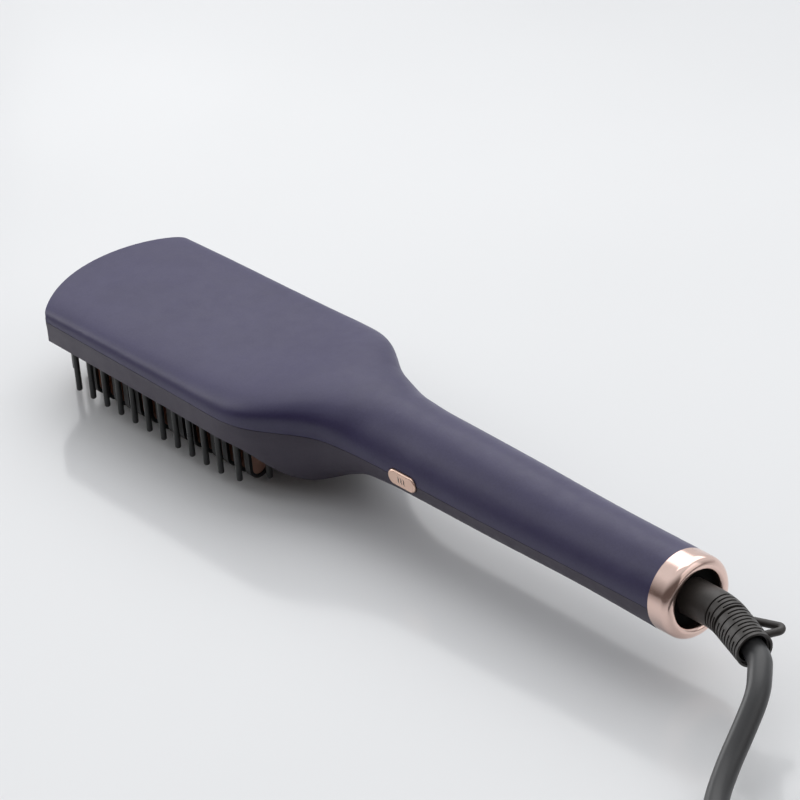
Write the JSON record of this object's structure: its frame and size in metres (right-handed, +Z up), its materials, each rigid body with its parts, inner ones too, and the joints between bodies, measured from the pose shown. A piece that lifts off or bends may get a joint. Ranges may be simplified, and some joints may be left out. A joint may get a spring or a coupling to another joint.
{
  "type": "heated styling brush",
  "caption": "Heated styling brush with guarded heating blades and cooler pins under a wide head, a side button, an end ring and a swivelling mains cord.",
  "frame": {"origin": "on the surface under the blades, below the middle of the brush with its strain relief", "axes": "+X from the head's tip to the cord, +Z up from the blade tips to the back cover, -Y the button's side"},
  "size_m": [0.5119, 0.1138, 0.0408],
  "materials": {
    "cover": "satin violet-navy",
    "frame": "satin mauve-grey",
    "panel": "matte black",
    "blades": "copper-coloured coating",
    "guards": "matte black",
    "pins": "matte black",
    "steel": "plain steel",
    "heater": "plain",
    "brass": "plain",
    "mica": "sheet insulator",
    "component": "moulded",
    "board": "solder mask green",
    "wire": "silicone sleeve",
    "rose_gold": "rose-gold plating on plastic",
    "inner_black": "matte black",
    "relief": "matte dark grey",
    "cord": "satin grey",
    "tie": "matte black",
    "plug": "matte dark grey",
    "nickel": "nickel plating"
  },
  "bodies": {
    "brush": {"back_cover": "cover", "front_frame": "frame", "face_panel": "panel", "heating_plate": "blades", "blade_guards_1": "guards", "blade_guards_2": "guards", "blade_guards_3": "guards", "blade_guards_4": "guards", "side_pins_near": "pins", "side_pins_far": "pins", "tip_pins": "pins", "heel_pins": "pins", "panel_screws": "steel", "ptc_heaters": "heater", "contact_strip": "brass", "insulating_sheet": "mica", "heater_clamp": "steel", "clamp_screw": "steel", "thermistor": "component", "thermal_fuse": "steel", "control_board": "board", "board_components": "component", "push_switch": "component", "lead_wires": "wire", "end_ring": "rose_gold", "swivel_socket": "inner_black", "socket_retainer": "inner_black", "contact_pins": "brass"},
    "button": {"side_button": "rose_gold"},
    "plunger": {"switch_plunger": "component"},
    "cord_swivel": {"strain_relief": "relief", "slip_rings": "brass", "power_cord": "cord", "cord_coil": "cord", "cord_tail": "cord", "coil_tie": "tie", "plug_body": "plug", "plug_pins": "nickel"}
  },
  "joints": [
    {"name": "button_slide", "type": "slide", "parent": "brush", "child": "button", "axis": [0, 1, 0], "range_m": [0, 0.0005], "stiffness_N_per_m": 1200, "springref_m": -0.0005},
    {"name": "plunger_slide", "type": "slide", "parent": "brush", "child": "plunger", "axis": [0, 1, 0], "range_m": [0, 0.0005]},
    {"name": "cord_swivel_turn", "type": "hinge", "parent": "brush", "child": "cord_swivel", "pos_m": [0.1221, 0, 0.0265], "axis": [1, 0, 0], "continuous": true}
  ],
  "couplings": [
    {"joint": "plunger_slide", "follows": "button_slide", "ratio": 1}
  ]
}
